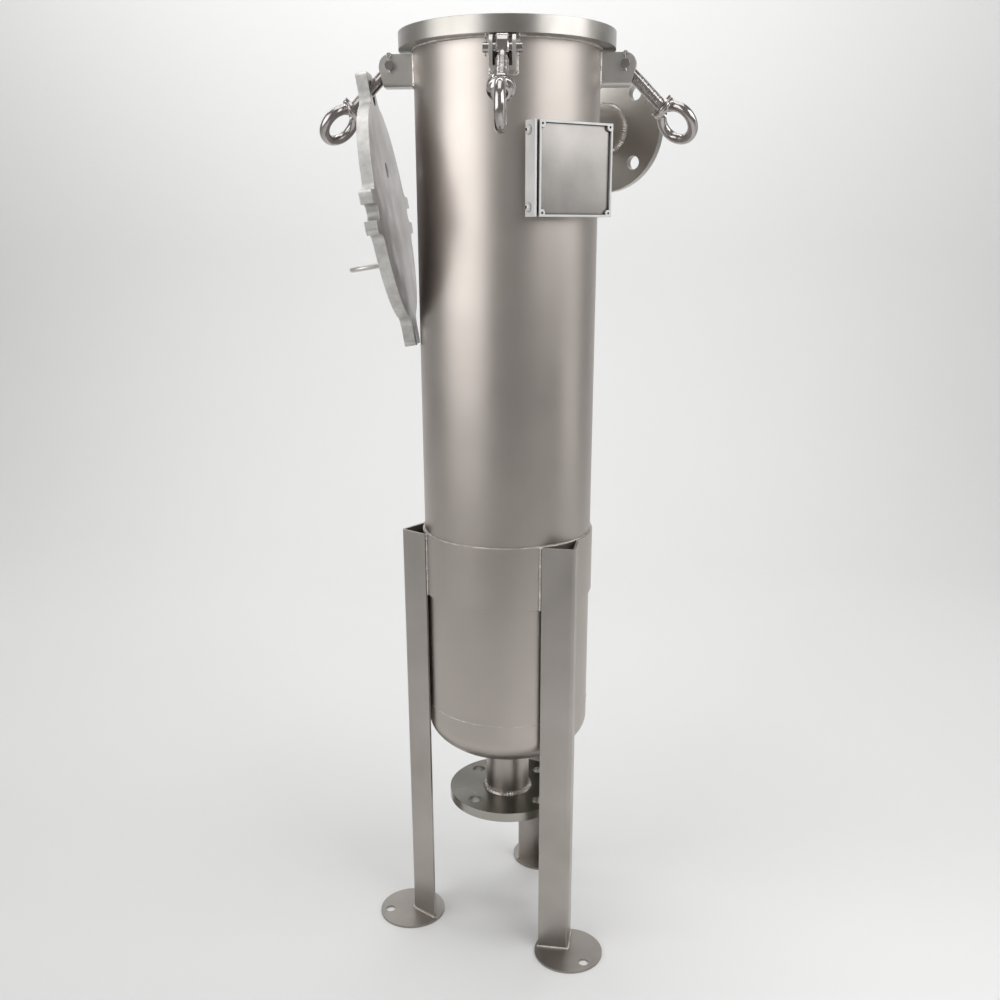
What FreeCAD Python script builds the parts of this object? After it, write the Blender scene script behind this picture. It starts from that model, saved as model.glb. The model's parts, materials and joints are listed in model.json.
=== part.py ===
# Bag filter housing: a pipe vessel on three legs, with a swing-bolt lid.
# Millimetres, +Z up. The origin is on the floor, on the vessel's axis.
# Azimuths are in degrees about +Z, counted from -Y (the front) towards +X.
import FreeCAD, Part
import math
import os

V = FreeCAD.Vector
AXIS_X = V(1, 0, 0)
AXIS_Y = V(0, 1, 0)
AXIS_Z = V(0, 0, 1)
ORIGIN = V(0, 0, 0)

# Vessel
rim_top = 1178.0
rim_height = 18.0
rim_overhang = 16.95
shell_radius = 109.55
shell_wall = 3.0
shell_bottom = 344.0
shell_socket = 9.0
head_skirt = 25.0
head_depth = 55.0
head_steps = 6

# Lid seal
seal_width = 6.0
seal_inset = 10.0
seal_recess = 0.2
seal_slack = 0.3

# Basket seat
seat_drop = 123.0
seat_height = 10.0
seat_ledge = 16.35
slip_gap = 0.2

# Doubler band and legs
doubler_top = 587.0
doubler_height = 82.0
doubler_wall = 3.0
leg_flange = 42.0
leg_wall = 3.0
leg_bend = 5.0
leg_azimuth = 38.5
leg_count = 3
foot_offset = 29.45
foot_radius = 47.0
foot_thickness = 3.0
foot_hole_offset = 33.0
foot_hole_radius = 7.0

# Pipe connections
pipe_radius = 30.15
pipe_wall = 2.9
flange_radius = 82.5
flange_thickness = 13.0
flange_bolt_circle = 125.0
flange_hole_radius = 9.0
flange_hole_count = 4
pipe_setback = 3.0
inlet_drop = 83.0
inlet_azimuth = 152.0
inlet_length = 175.45
outlet_length = 77.0

# Swing-bolt brackets
pivot_offset = 10.0
pivot_drop = 34.0
ear_gap = 20.5
ear_wall = 4.0
ear_radius = 12.5
ear_drop = 18.4
ear_lean = 10.0
bend_radius = 4.0
pin_radius = 5.0
pin_length = 42.0
split_pin_width = 1.8
split_pin_inset = 3.2
split_pin_length = 17.0
split_pin_eye = 3.2

# Swing bolts, washers and eye nuts
bolt_radius = 7.0
bolt_length = 72.0
eye_radius = 14.0
eye_width = 14.0
eye_chamfer = 1.5
bolt_chamfer = 1.5
bolt_rest_angle = 44.0
running_gap = 0.05
washer_radius = 15.0
washer_bore_radius = 7.5
washer_thickness = 2.5
nut_collar_radius = 15.0
nut_waist_radius = 10.5
nut_collar_height = 4.0
nut_shoulder_height = 6.0
ring_radius = 21.0
ring_section = 6.0
ring_flats = 12
ring_runs = 28
ring_height = 26.0
ring_turns = (0.0, 52.0, 20.0, -62.0)
rest_gap = 0.3

# Lid
lid_thickness = 14.0
lug_width = 47.0
lug_end = 22.0
lug_corner = 7.0
lug_blend = 16.0
slot_width = 18.0
hinge_slot_length = 28.4
lid_lean = 9.0
vent_offset = 50.0
vent_radius = 9.3
handle_rod_radius = 3.0
handle_width = 60.0
handle_height = 54.0
handle_offset = 57.0
handle_steps = 10

# Plate holder
plate_azimuth = 36.4
plate_width = 102.0
plate_height = 99.5
plate_drop = 152.5
plate_standoff = 18.45
plate_shift = 6.0
bracket_wall = 3.0
bracket_gap = 3.0
bracket_step = 1.0
frame_wall = 2.5
pocket_depth = 4.0
ledge = 3.0
boss_radius = 4.0
boss_hole_radius = 1.3
sheet_thickness = 1.0
sheet_gap = 0.8
screw_radius = 2.0
screw_head_radius = 5.0
screw_head_height = 4.0
screw_inset = 10.0
screw_setback = 3.5
screw_reach = 11.0

# Basket and filter bag
basket_gap = 6.0
basket_wall = 1.5
basket_rim_gap = 6.55
basket_rim_thickness = 4.0
basket_clearance = 46.8
bail_rod_radius = 2.5
bail_ear_width = 8.0
bail_ear_thickness = 3.0
bail_ear_height = 12.0
bail_ear_offset = 3.0
bail_steps = 12
bail_side_gap = 1.5
bag_gap = 0.5
bag_wall = 2.5
bag_sole_slope = 20.0
bag_ring_height = 16.0
bag_ring_section = 3.0

# Worked out from the sizes above
shell_bore = shell_radius - shell_wall
doubler_radius = shell_radius + doubler_wall
rim_radius = shell_radius + rim_overhang
rim_bottom = rim_top - rim_height
shell_top = rim_bottom + shell_socket
seal_radius = rim_radius - seal_inset
seal_bottom = rim_top - seal_width - seal_recess
head_bottom = shell_bottom - head_skirt - head_depth
foot_centre_radius = doubler_radius + foot_offset
inlet_height = rim_top - inlet_drop
inlet_reach = shell_radius + inlet_length
outlet_face = head_bottom - outlet_length
sides = {"front": 0.0, "right": 90.0, "back": 180.0, "left": 270.0}
legs = {"right": 0, "back": 1, "left": 2}
pivot_radius = rim_radius + pivot_offset
pivot_height = rim_top - pivot_drop
pin_point = V(0, -pivot_radius, pivot_height)
lid_tilt = bolt_rest_angle - lid_lean
lid_middle = pivot_drop + rest_gap + lid_thickness / 2
tilt = math.radians(lid_tilt)
washer_seat = lid_middle + (lid_thickness / 2 + washer_radius * math.sin(tilt)) / math.cos(tilt) + rest_gap
nut_seat = washer_seat + washer_thickness + rest_gap
swing = 90.0 + bolt_rest_angle
plate_centre = rim_top - plate_drop
plate_front = shell_radius + plate_standoff
web_front = shell_radius + bracket_wall
seat_top = rim_top - seat_drop
seat_bore_radius = shell_bore - slip_gap - seat_ledge
basket_top = seat_top + rest_gap
basket_sole_bottom = head_bottom + shell_wall + basket_clearance
basket_bottom = basket_sole_bottom + basket_wall
basket_radius = seat_bore_radius - basket_gap
basket_rim_radius = shell_bore - basket_rim_gap
bail_height = basket_top + basket_rim_thickness + bail_ear_height / 2
bail_ear_radius = basket_radius + bail_ear_offset
bag_radius = basket_radius - basket_wall - bag_gap
bag_top = basket_top + basket_rim_thickness


def polar(radius, azimuth, height=0.0):
    """A point at a radius and an azimuth."""
    a = math.radians(azimuth)
    return V(radius * math.sin(a), -radius * math.cos(a), height)


def disc(radius, bottom, height):
    """An upright cylinder on the vessel's axis."""
    return Part.makeCylinder(radius, height, V(0, 0, bottom))


def ring(outer, inner, bottom, height):
    """A flat-ended ring on the vessel's axis."""
    return disc(outer, bottom, height).cut(disc(inner, bottom, height))


def across(radius, length, y, z):
    """A cylinder that lies along X, centred on X = 0."""
    return Part.makeCylinder(radius, length, V(-length / 2, y, z), AXIS_X)


def slab(width, depth, height, x, y, z):
    """A box centred on x, from y and z upwards."""
    return Part.makeBox(width, depth, height, V(x - width / 2, y, z))


def turned(shape, centre, axis, degrees):
    """A copy turned about an axis through a point."""
    out = shape.copy()
    out.rotate(centre, axis, degrees)
    return out


def at_azimuth(shape, azimuth):
    """A shape built at the front, carried round to its azimuth."""
    return turned(shape, ORIGIN, AXIS_Z, azimuth)


def revolved(points, centre=ORIGIN, axis=AXIS_Z):
    """A polygon turned once round an axis."""
    return Part.Face(Part.makePolygon(points + points[:1])).revolve(centre, axis, 360)


def bent_rod(points, radius, direction):
    """A round rod along straight runs, mitred where it bends."""
    section = Part.Wire([Part.makeCircle(radius, points[0], direction)])
    return Part.makePolygon(points).makePipeShell([section], True, False, 1)


def bow(half_width, height, steps):
    """The points of a half-round bow in the XZ plane, from left to right."""
    angles = [math.pi * (1 - n / steps) for n in range(steps + 1)]
    return [V(half_width * math.cos(a), 0, height * math.sin(a)) for a in angles]


def arc(first, middle, last):
    return Part.Arc(first, middle, last).toShape()


def export(node, *solids):
    shape = solids[0] if len(solids) == 1 else Part.makeCompound(list(solids))
    shape.exportStep("parts/" + node + ".step")


# Vessel

def pipe_tool(reach):
    """The inlet pipe's outside, from the vessel's axis outwards."""
    tool = Part.makeCylinder(pipe_radius, reach, V(0, 0, inlet_height), V(0, -1, 0))
    return at_azimuth(tool, inlet_azimuth)


def shell_tube():
    tube = ring(shell_radius, shell_bore, shell_bottom, shell_top - shell_bottom)
    return tube.cut(pipe_tool(shell_radius + shell_wall))


def rim_ring():
    rim = ring(rim_radius, shell_bore, rim_bottom, rim_height)
    rim = rim.cut(disc(shell_radius, rim_bottom, shell_socket))
    half = seal_width / 2 + seal_slack
    return rim.cut(ring(seal_radius + half, seal_radius - half, seal_bottom, rim_top - seal_bottom))


def lid_seal():
    """A square ring of rubber, just under the rim's top."""
    return ring(seal_radius + seal_width / 2, seal_radius - seal_width / 2, seal_bottom, seal_width)


def dished_head(radius, depth):
    """A solid head with an upright skirt and an elliptical dish in short straight steps."""
    tangent = shell_bottom - head_skirt
    points = [V(0, 0, shell_bottom), V(radius, 0, shell_bottom)]
    for n in range(head_steps + 1):
        a = n * math.pi / 2 / head_steps
        points.append(V(radius * math.cos(a), 0, tangent - depth * math.sin(a)))
    return revolved(points)


def bottom_head():
    outer = dished_head(shell_radius, head_depth)
    inner = dished_head(shell_bore, head_depth - shell_wall)
    return outer.cut(inner).cut(disc(pipe_radius, 0, shell_bottom))


def basket_seat():
    return ring(shell_bore - slip_gap, seat_bore_radius, seat_top - seat_height, seat_height)


def doubler_band():
    return ring(doubler_radius, shell_radius, doubler_top - doubler_height, doubler_height)


# Pipe connections

def pipe_flange():
    """A flat flange that faces up, its face at Z = 0."""
    plate = ring(flange_radius, pipe_radius, -flange_thickness, flange_thickness)
    for n in range(flange_hole_count):
        hole = disc(flange_hole_radius, -flange_thickness, flange_thickness)
        hole.translate(polar(flange_bolt_circle / 2, (n + 0.5) * 360 / flange_hole_count))
        plate = plate.cut(hole)
    return plate


def inlet_place(shape):
    """Stands a connection that faces up at the inlet, facing outwards."""
    out = turned(shape, ORIGIN, AXIS_X, 90)
    out.translate(V(0, -inlet_reach, inlet_height))
    return at_azimuth(out, inlet_azimuth)


def inlet_flange():
    return inlet_place(pipe_flange())


def inlet_stub():
    pipe = ring(pipe_radius, pipe_radius - pipe_wall, -inlet_reach, inlet_reach - pipe_setback)
    return inlet_place(pipe).cut(disc(shell_bore, 0, rim_top))


def outlet_flange():
    plate = turned(pipe_flange(), ORIGIN, AXIS_X, 180)
    plate.translate(V(0, 0, outlet_face))
    return plate


def outlet_stub():
    """The outlet pipe, cut off along the inside of the dished head."""
    bottom = outlet_face + pipe_setback
    pipe = ring(pipe_radius, pipe_radius - pipe_wall, bottom, shell_bottom - bottom)
    return pipe.cut(dished_head(shell_bore, head_depth - shell_wall))


# Legs

def leg():
    """An angle with its corner outwards and its two edges on the doubler band."""
    half = leg_flange / math.sqrt(2)
    wall = leg_wall / math.sqrt(2)
    reach = doubler_radius + slip_gap
    corner = half + wall + math.sqrt(reach ** 2 - (half - wall) ** 2)
    length = doubler_top - foot_thickness
    outer = Part.makeBox(leg_flange, leg_flange, length)
    outer = outer.makeFillet(leg_bend, [e for e in outer.Edges if upright_at(e, 0, 0)])
    inner = Part.makeBox(leg_flange, leg_flange, length, V(leg_wall, leg_wall, 0))
    corner_edge = [e for e in inner.Edges if upright_at(e, leg_wall, leg_wall)]
    inner = inner.makeFillet(leg_bend - leg_wall, corner_edge)
    angle = turned(outer.cut(inner), ORIGIN, AXIS_Z, 45)
    angle.translate(V(0, -corner, foot_thickness))
    return angle


def upright_at(edge, x, y):
    """True for an upright edge that stands at x, y."""
    return all(abs(v.X - x) < 0.01 and abs(v.Y - y) < 0.01 for v in edge.Vertexes)


def foot():
    plate = disc(foot_radius, 0, foot_thickness)
    hole = at_front(disc(foot_hole_radius, 0, foot_thickness), foot_hole_offset)
    return at_front(plate.cut(hole), foot_centre_radius)


def at_front(shape, radius):
    out = shape.copy()
    out.translate(V(0, -radius, 0))
    return out


# Brackets, pins and split pins

def bracket():
    """A U-shaped bracket under the rim, its web stopping the hanging bolt."""
    beta = math.radians(bolt_rest_angle)
    lean = math.radians(ear_lean)
    y, z = -pivot_radius, pivot_height
    low = z - ear_drop - ear_wall
    width = ear_gap + 2 * ear_wall
    top = V(-width / 2, y, z + ear_radius)
    chin = V(-width / 2, y - ear_radius * math.cos(lean), z - ear_radius * math.sin(lean))
    turn = (math.pi / 2 - lean) / 2
    nose = V(-width / 2, y - ear_radius * math.cos(turn), z + ear_radius * math.sin(turn))
    web_reach = (ear_drop * math.cos(beta) - bolt_radius - rest_gap) / math.sin(beta)
    slope = (y - web_reach - chin.y) / (z - ear_drop - chin.z)
    toe = V(-width / 2, chin.y + slope * (low - chin.z), low)
    heel = V(-width / 2, 0, low)
    head = V(-width / 2, 0, z + ear_radius)
    corners = [chin, toe, heel, head, top]
    edges = [Part.makeLine(corners[i], corners[i + 1]) for i in range(len(corners) - 1)]
    block = Part.Face(Part.Wire([arc(top, nose, chin)] + edges)).extrude(V(width, 0, 0))
    lower = [e for e in block.Edges if all(abs(v.Z - low) < 0.01 for v in e.Vertexes) and is_along_y(e)]
    block = block.makeFillet(bend_radius, lower)
    channel = slab(ear_gap, 2 * pivot_radius, ear_drop + 2 * ear_radius, 0, y - pivot_radius, z - ear_drop)
    block = block.cut(channel)
    block = block.cut(across(pin_radius, width, y, z))
    return block.cut(disc(shell_radius, 0, rim_top))


def is_along_y(edge):
    ends = edge.Vertexes
    return len(ends) == 2 and abs(ends[0].X - ends[1].X) < 0.01 and abs(ends[0].Y - ends[1].Y) > 1


def split_pin_shank(side, width):
    """A square bar upright through one end of the pivot pin."""
    x = side * (pin_length / 2 - split_pin_inset)
    low = pivot_height - split_pin_length / 2
    return slab(width, width, split_pin_length, x, -pivot_radius - width / 2, low)


def pivot_pin():
    pin = across(pin_radius, pin_length, -pivot_radius, pivot_height)
    for side in (-1, 1):
        pin = pin.cut(split_pin_shank(side, split_pin_width + slip_gap))
    return pin


def split_pin(side):
    """Two legs of wire side by side through the pivot pin, with their eye on top."""
    shank = split_pin_shank(side, split_pin_width)
    centre = V(side * (pin_length / 2 - split_pin_inset), -pivot_radius, pivot_height + split_pin_length / 2)
    centre.z += split_pin_eye / 2
    eye = octagon(split_pin_eye, centre).cut(octagon(split_pin_eye - split_pin_width / 2, centre))
    return shank.fuse(eye)


def octagon(radius, centre):
    """An eight-sided plate as thick as a split pin, standing across X."""
    corners = [V(0, radius * math.cos(n * math.pi / 4), radius * math.sin(n * math.pi / 4)) for n in range(9)]
    plate = Part.Face(Part.makePolygon(corners)).extrude(V(split_pin_width, 0, 0))
    plate.translate(centre - V(split_pin_width / 2, 0, 0))
    return plate


# Swing bolts, washers and eye nuts, built upright at the front bracket

def swing_bolt():
    """An eye bolt that stands on its pivot pin."""
    y, z = -pivot_radius, pivot_height
    eye = across(eye_radius, eye_width, y, z)
    eye = eye.makeChamfer(eye_chamfer, [e for e in eye.Edges if e.Curve.TypeId == "Part::GeomCircle"])
    rod = Part.makeCylinder(bolt_radius, bolt_length - eye_radius / 2, V(0, y, z + eye_radius / 2))
    end = [e for e in rod.Edges if all(abs(v.Z - z - bolt_length) < 0.01 for v in e.Vertexes)]
    rod = rod.makeChamfer(bolt_chamfer, end)
    return eye.fuse(rod).cut(across(pin_radius + running_gap, eye_width, y, z))


def washer():
    """A flat washer on the bolt."""
    seat = pin_point + V(0, 0, washer_seat)
    outer = Part.makeCylinder(washer_radius, washer_thickness, seat)
    return outer.cut(Part.makeCylinder(washer_bore_radius, washer_thickness, seat))


def lifting_ring():
    """A round ring across the bolt, in short straight runs of a many-sided bar."""
    def corner(run, flat):
        around = (run + 0.5) * 2 * math.pi / ring_runs
        a = (flat + 0.5) * 2 * math.pi / ring_flats
        out = ring_radius + ring_section * math.cos(a)
        return V(ring_section * math.sin(a), out * math.sin(around), ring_height + out * math.cos(around))

    faces = []
    for run in range(ring_runs):
        for flat in range(ring_flats):
            loop = [corner(run, flat), corner(run + 1, flat)]
            loop += [corner(run + 1, flat + 1), corner(run, flat + 1)]
            faces.append(Part.Face(Part.makePolygon(loop + loop[:1])))
    return Part.Solid(Part.Shell(faces))


def eye_nut(turn):
    """A threaded collar that runs up into a round lifting ring."""
    base = nut_collar_radius
    shoulder = (nut_collar_radius + nut_waist_radius) / 2
    top = ring_height - ring_radius + ring_section
    collar = revolved([ORIGIN, V(base, 0, 0), V(base, 0, nut_collar_height),
                       V(shoulder, 0, nut_shoulder_height), V(nut_waist_radius, 0, top), V(0, 0, top)])
    nut = collar.fuse(lifting_ring()).cut(Part.makeCylinder(bolt_radius + running_gap, ring_height))
    inside = Part.makeCylinder(ring_radius - ring_section, 2 * base, V(-base, 0, ring_height), AXIS_X)
    under = Part.makeBox(2 * base, 2 * base, base, V(-base, -base, -base))
    nut = nut.cut(inside).cut(under)
    nut.rotate(ORIGIN, AXIS_Z, turn)
    nut.translate(pin_point + V(0, 0, nut_seat))
    return nut


def laid_down(shape):
    """Swings an upright bolt, or what is on it, down to where it hangs."""
    return turned(shape, pin_point, AXIS_X, swing)


# Lid, built closed on the rim with its hinge lug at the front

def lug_outline():
    """One lug's outline, from its right blend to its left, at the front."""
    half = lug_width / 2
    tip = pivot_radius + lug_end
    blend_y = -math.sqrt((rim_radius + lug_blend) ** 2 - (half + lug_blend) ** 2)
    centre = V(-half - lug_blend, blend_y, 0)
    on_disc = centre * (rim_radius / centre.Length)
    on_side = V(-half, blend_y, 0)
    toward = (on_disc - centre) + (on_side - centre)
    waist = centre + toward * (lug_blend / toward.Length)
    c = lug_corner
    k = c * (1 - math.sqrt(0.5))
    return on_disc, waist, on_side, V(-half, -tip + c, 0), V(-half + k, -tip + k, 0), V(-half + c, -tip, 0)


def mirrored(point):
    return V(-point.x, point.y, point.z)


def lid_blank():
    """The lid's cut plate: a disc with four blended lugs."""
    left = lug_outline()
    right = [mirrored(p) for p in left]
    turn = FreeCAD.Rotation(AXIS_Z, 90)
    lug = [arc(left[0], left[1], left[2]), Part.makeLine(left[2], left[3]),
           arc(left[3], left[4], left[5]), Part.makeLine(left[5], right[5]),
           arc(right[5], right[4], right[3]), Part.makeLine(right[3], right[2]),
           arc(right[2], right[1], right[0])]
    half_way = turn.multVec(left[0]) + right[0]
    lug.append(arc(right[0], half_way * (rim_radius / half_way.Length), turn.multVec(left[0])))
    edges = []
    for n in range(4):
        for edge in lug:
            edges.append(turned(edge, ORIGIN, AXIS_Z, 90 * n))
    wire = Part.Wire(Part.__sortEdges__(edges))
    plate = Part.Face(wire).extrude(V(0, 0, lid_thickness))
    plate.translate(V(0, 0, rim_top + rest_gap))
    return plate


def lid_plate():
    plate = lid_blank()
    bottom = rim_top + rest_gap
    radius = slot_width / 2
    length = hinge_slot_length - slot_width
    for n, name in enumerate(("hinge", "right", "far", "left")):
        run = length if name == "hinge" else 2 * lug_end
        start = -pivot_radius + (length / 2 if name == "hinge" else 0)
        end = start - run
        slot = slab(slot_width, run, lid_thickness, 0, end, bottom)
        for y in (start, end):
            slot = slot.fuse(Part.makeCylinder(radius, lid_thickness, V(0, y, bottom)))
        plate = plate.cut(turned(slot, ORIGIN, AXIS_Z, 90 * n))
    plate = plate.cut(Part.makeCylinder(vent_radius, lid_thickness, V(0, -vent_offset, bottom)))
    return plate


def lid_handle():
    """A round-ended rod bow welded on the lid's outer face."""
    r = handle_rod_radius
    half = handle_width / 2 - r
    rise = V(0, 0, handle_height - r - half)
    points = [V(-half, 0, 0)] + [p + rise for p in bow(half, half, handle_steps)] + [V(half, 0, 0)]
    handle = bent_rod(points, r, AXIS_Z)
    handle.translate(V(0, handle_offset, rim_top + rest_gap + lid_thickness))
    return handle


def hung(shape):
    """Carries a closed lid's piece to where it hangs on the left bolt."""
    out = turned(shape, pin_point, AXIS_Z, 180)
    out = turned(out, pin_point + V(0, 0, lid_middle), AXIS_X, -lid_tilt)
    return laid_down(out)


# Plate holder, built at the front

def beside(shape):
    """Carries a piece of the plate holder sideways and round to its azimuth."""
    shape.translate(V(plate_shift, 0, 0))
    return at_azimuth(shape, plate_azimuth)


def plate_bracket():
    """An angle: a web welded along the shell and one wall beside the frame."""
    low = plate_centre - plate_height / 2
    outer_x = -plate_width / 2 - bracket_gap - bracket_wall
    web = Part.makeBox(plate_width / 2 - outer_x, bracket_wall, plate_height, V(outer_x, -web_front, low))
    wall = Part.makeBox(bracket_wall, plate_front - bracket_step - shell_radius, plate_height,
                        V(outer_x, -plate_front + bracket_step, low))
    angle = web.fuse(wall).removeSplitter()
    return angle.cut(side_screw_holes(screw_radius + slip_gap))


def side_screw_places():
    """Where the two side screws meet the outside of the bracket's wall."""
    x = -plate_width / 2 - bracket_gap - bracket_wall
    for z in (plate_height / 2 - screw_inset, screw_inset - plate_height / 2):
        yield V(x, -web_front - screw_setback, plate_centre + z)


def side_screw_holes(radius):
    return [Part.makeCylinder(radius, screw_reach, place, AXIS_X) for place in side_screw_places()]


def side_screws():
    head_rise = V(screw_head_height, 0, 0)
    heads = [Part.makeCylinder(screw_head_radius, screw_head_height, place - head_rise, AXIS_X)
             for place in side_screw_places()]
    return [head.fuse(shank) for head, shank in zip(heads, side_screw_holes(screw_radius))]


def plate_frame():
    """A box with a pocket for the plate, a hollow behind it and a boss in each corner."""
    depth = plate_front - web_front
    box = panel(0, plate_front, depth)
    box = box.cut(panel(frame_wall, plate_front, pocket_depth))
    box = box.cut(panel(frame_wall + ledge, plate_front - pocket_depth, depth - pocket_depth - frame_wall))
    for x, z in boss_places():
        box = box.fuse(Part.makeCylinder(boss_radius, depth, V(x, -plate_front, z), AXIS_Y))
    for x, z in boss_places():
        box = box.cut(Part.makeCylinder(boss_hole_radius, depth / 2, V(x, -plate_front, z), AXIS_Y))
    return box.cut(side_screw_holes(screw_radius + slip_gap))


def panel(inset, front, depth):
    """A rectangle the size of the frame, less an inset all round, from its front backwards."""
    width = plate_width - 2 * inset
    height = plate_height - 2 * inset
    return slab(width, depth, height, 0, -front, plate_centre - height / 2)


def boss_places():
    for x in (-1, 1):
        for z in (-1, 1):
            yield x * (plate_width / 2 - boss_radius), plate_centre + z * (plate_height / 2 - boss_radius)


def blank_plate():
    """A bare sheet on the pocket's ledge, cut out round the bosses."""
    front = plate_front - pocket_depth + sheet_thickness
    sheet = panel(frame_wall + sheet_gap, front, sheet_thickness)
    radius = boss_radius + sheet_gap
    for x, z in boss_places():
        sheet = sheet.cut(Part.makeCylinder(radius, sheet_thickness, V(x, -front, z), AXIS_Y))
    return sheet


# Basket and bag

def basket_rim():
    """The flat collar that hangs in the seat, with an ear on each side for the bail."""
    rim = ring(basket_rim_radius, basket_radius - basket_wall, basket_top, basket_rim_thickness)
    for side in (-1, 1):
        rim = rim.fuse(bail_ear(side))
    return rim


def bail_ear(side):
    """A small upright ear with a hole for the bail's end."""
    ear = slab(bail_ear_thickness, bail_ear_width, bail_ear_height,
               side * bail_ear_radius, -bail_ear_width / 2, basket_top + basket_rim_thickness)
    return ear.cut(across(bail_rod_radius + running_gap, 4 * basket_radius, 0, bail_height))


def basket_tube():
    return ring(basket_radius, basket_radius - basket_wall, basket_bottom, basket_top - basket_bottom)


def basket_sole():
    return disc(basket_radius, basket_sole_bottom, basket_wall)


def basket_bail():
    """A wire bow folded down on the rim, its turned-in ends through the two ears."""
    reach = bail_ear_radius + bail_ear_thickness / 2 + bail_rod_radius + bail_side_gap
    inner = V(bail_ear_radius - bail_ear_thickness, 0, 0)
    points = [ORIGIN - inner] + bow(reach, reach, bail_steps) + [inner]
    wire = bent_rod(points, bail_rod_radius, AXIS_X)
    wire.rotate(ORIGIN, AXIS_X, 90)
    wire.translate(V(0, 0, bail_height))
    return wire


def bag_cup(radius, bottom):
    """A cup's outside, its sole drawn in by a sloping seam."""
    sole = radius - bag_sole_slope
    return revolved([V(0, 0, bottom), V(sole, 0, bottom), V(radius, 0, bottom + bag_sole_slope),
                     V(radius, 0, bag_top), V(0, 0, bag_top)])


def filter_bag():
    bottom = basket_bottom + bag_gap
    return bag_cup(bag_radius, bottom).cut(bag_cup(bag_radius - bag_wall, bottom + bag_wall))


def bag_ring():
    """The stiff ring in the bag's mouth."""
    outer = bag_radius - bag_wall
    return ring(outer, outer - bag_ring_section, bag_top - bag_ring_height, bag_ring_height)


def main():
    os.makedirs("parts", exist_ok=True)
    export("shell_tube", shell_tube())
    export("rim_ring", rim_ring())
    export("lid_seal", lid_seal())
    export("bottom_head", bottom_head())
    export("basket_seat", basket_seat())
    export("doubler_band", doubler_band())
    export("inlet_stub", inlet_stub())
    export("inlet_flange", inlet_flange())
    export("outlet_stub", outlet_stub())
    export("outlet_flange", outlet_flange())
    for name, n in legs.items():
        azimuth = leg_azimuth + n * 360 / leg_count
        export("leg_" + name, at_azimuth(leg(), azimuth))
    export("feet", *[at_azimuth(foot(), leg_azimuth + n * 360 / leg_count) for n in legs.values()])
    export("brackets", *[at_azimuth(bracket(), azimuth) for azimuth in sides.values()])
    for (name, azimuth), turn in zip(sides.items(), ring_turns):
        export("swing_bolt_" + name, at_azimuth(laid_down(swing_bolt()), azimuth))
        export("washer_" + name, at_azimuth(laid_down(washer()), azimuth))
        export("eye_nut_" + name, at_azimuth(laid_down(eye_nut(turn)), azimuth))
    export("pivot_pins", *[at_azimuth(pivot_pin(), a) for a in sides.values()])
    export("split_pins", *[at_azimuth(split_pin(side), a) for a in sides.values() for side in (-1, 1)])
    export("lid_plate", at_azimuth(hung(lid_plate()), sides["left"]))
    export("lid_handle", at_azimuth(hung(lid_handle()), sides["left"]))
    export("plate_bracket", beside(plate_bracket()))
    export("plate_frame", beside(plate_frame()))
    export("blank_plate", beside(blank_plate()))
    export("side_screws", *[beside(screw) for screw in side_screws()])
    export("basket_rim", basket_rim())
    export("basket_tube", basket_tube())
    export("basket_sole", basket_sole())
    export("basket_bail", basket_bail())
    export("filter_bag", filter_bag())
    export("bag_ring", bag_ring())


main()
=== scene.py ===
# %% [markdown]
# A bag filter housing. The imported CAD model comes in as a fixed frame: every piece that carries load or
# moves is already in it, at its real size and place. This lesson gives each of those pieces its finish, and
# adds what the CAD leaves out: weld beads, threads, wire pins, perforations, felt and stitches.

# %% Load the frame
import json
from math import atan2, cos, degrees, pi, radians, sin, sqrt

import bmesh
import bpy
from mathutils import Matrix, Vector, noise


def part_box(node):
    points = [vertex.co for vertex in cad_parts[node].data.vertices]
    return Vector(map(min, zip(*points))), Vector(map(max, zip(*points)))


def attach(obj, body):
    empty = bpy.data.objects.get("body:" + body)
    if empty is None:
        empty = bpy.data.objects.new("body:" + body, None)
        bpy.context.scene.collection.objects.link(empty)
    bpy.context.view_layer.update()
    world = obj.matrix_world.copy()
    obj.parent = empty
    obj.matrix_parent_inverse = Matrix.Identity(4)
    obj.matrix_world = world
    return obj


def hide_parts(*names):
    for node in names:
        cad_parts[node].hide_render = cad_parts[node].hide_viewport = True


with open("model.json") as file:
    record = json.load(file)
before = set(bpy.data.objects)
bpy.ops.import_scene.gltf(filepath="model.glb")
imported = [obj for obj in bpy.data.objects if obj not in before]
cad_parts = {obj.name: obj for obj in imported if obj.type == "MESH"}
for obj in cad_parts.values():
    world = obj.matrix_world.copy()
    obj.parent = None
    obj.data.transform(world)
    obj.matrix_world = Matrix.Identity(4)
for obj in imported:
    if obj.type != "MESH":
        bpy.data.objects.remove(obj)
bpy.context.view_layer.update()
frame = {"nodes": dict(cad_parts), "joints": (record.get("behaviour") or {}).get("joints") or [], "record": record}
nodes = frame["nodes"]
joints = {joint["name"]: joint for joint in frame["joints"]}
print("nodes:", len(nodes), "joints:", len(joints))

# %% [markdown]
# The sizes below are read from the frame, so that they follow the CAD. A node's box gives its lowest and
# highest corner, and a joint gives a point and a direction. Only what no box can tell, such as a wall or a
# bolt's pitch, is written down here.

# %% Sizes
SIDES = ("front", "right", "back", "left")
MM = 0.001
X, Y, Z = Vector((1, 0, 0)), Vector((0, 1, 0)), Vector((0, 0, 1))
wall = 3 * MM
shell_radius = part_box("shell_tube")[1][0]
rim_low, rim_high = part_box("rim_ring")
head_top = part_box("bottom_head")[1][2]
band_low, band_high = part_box("doubler_band")
outlet_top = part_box("outlet_flange")[1][2]
pipe_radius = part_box("outlet_stub")[1][0]
basket_low, basket_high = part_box("basket_tube")
bag_low, bag_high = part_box("filter_bag")
band_radius, basket_radius, bag_radius = band_high[0], basket_high[0], bag_high[0]
print("radius of shell, band and pipe:", shell_radius, band_radius, pipe_radius)

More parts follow.
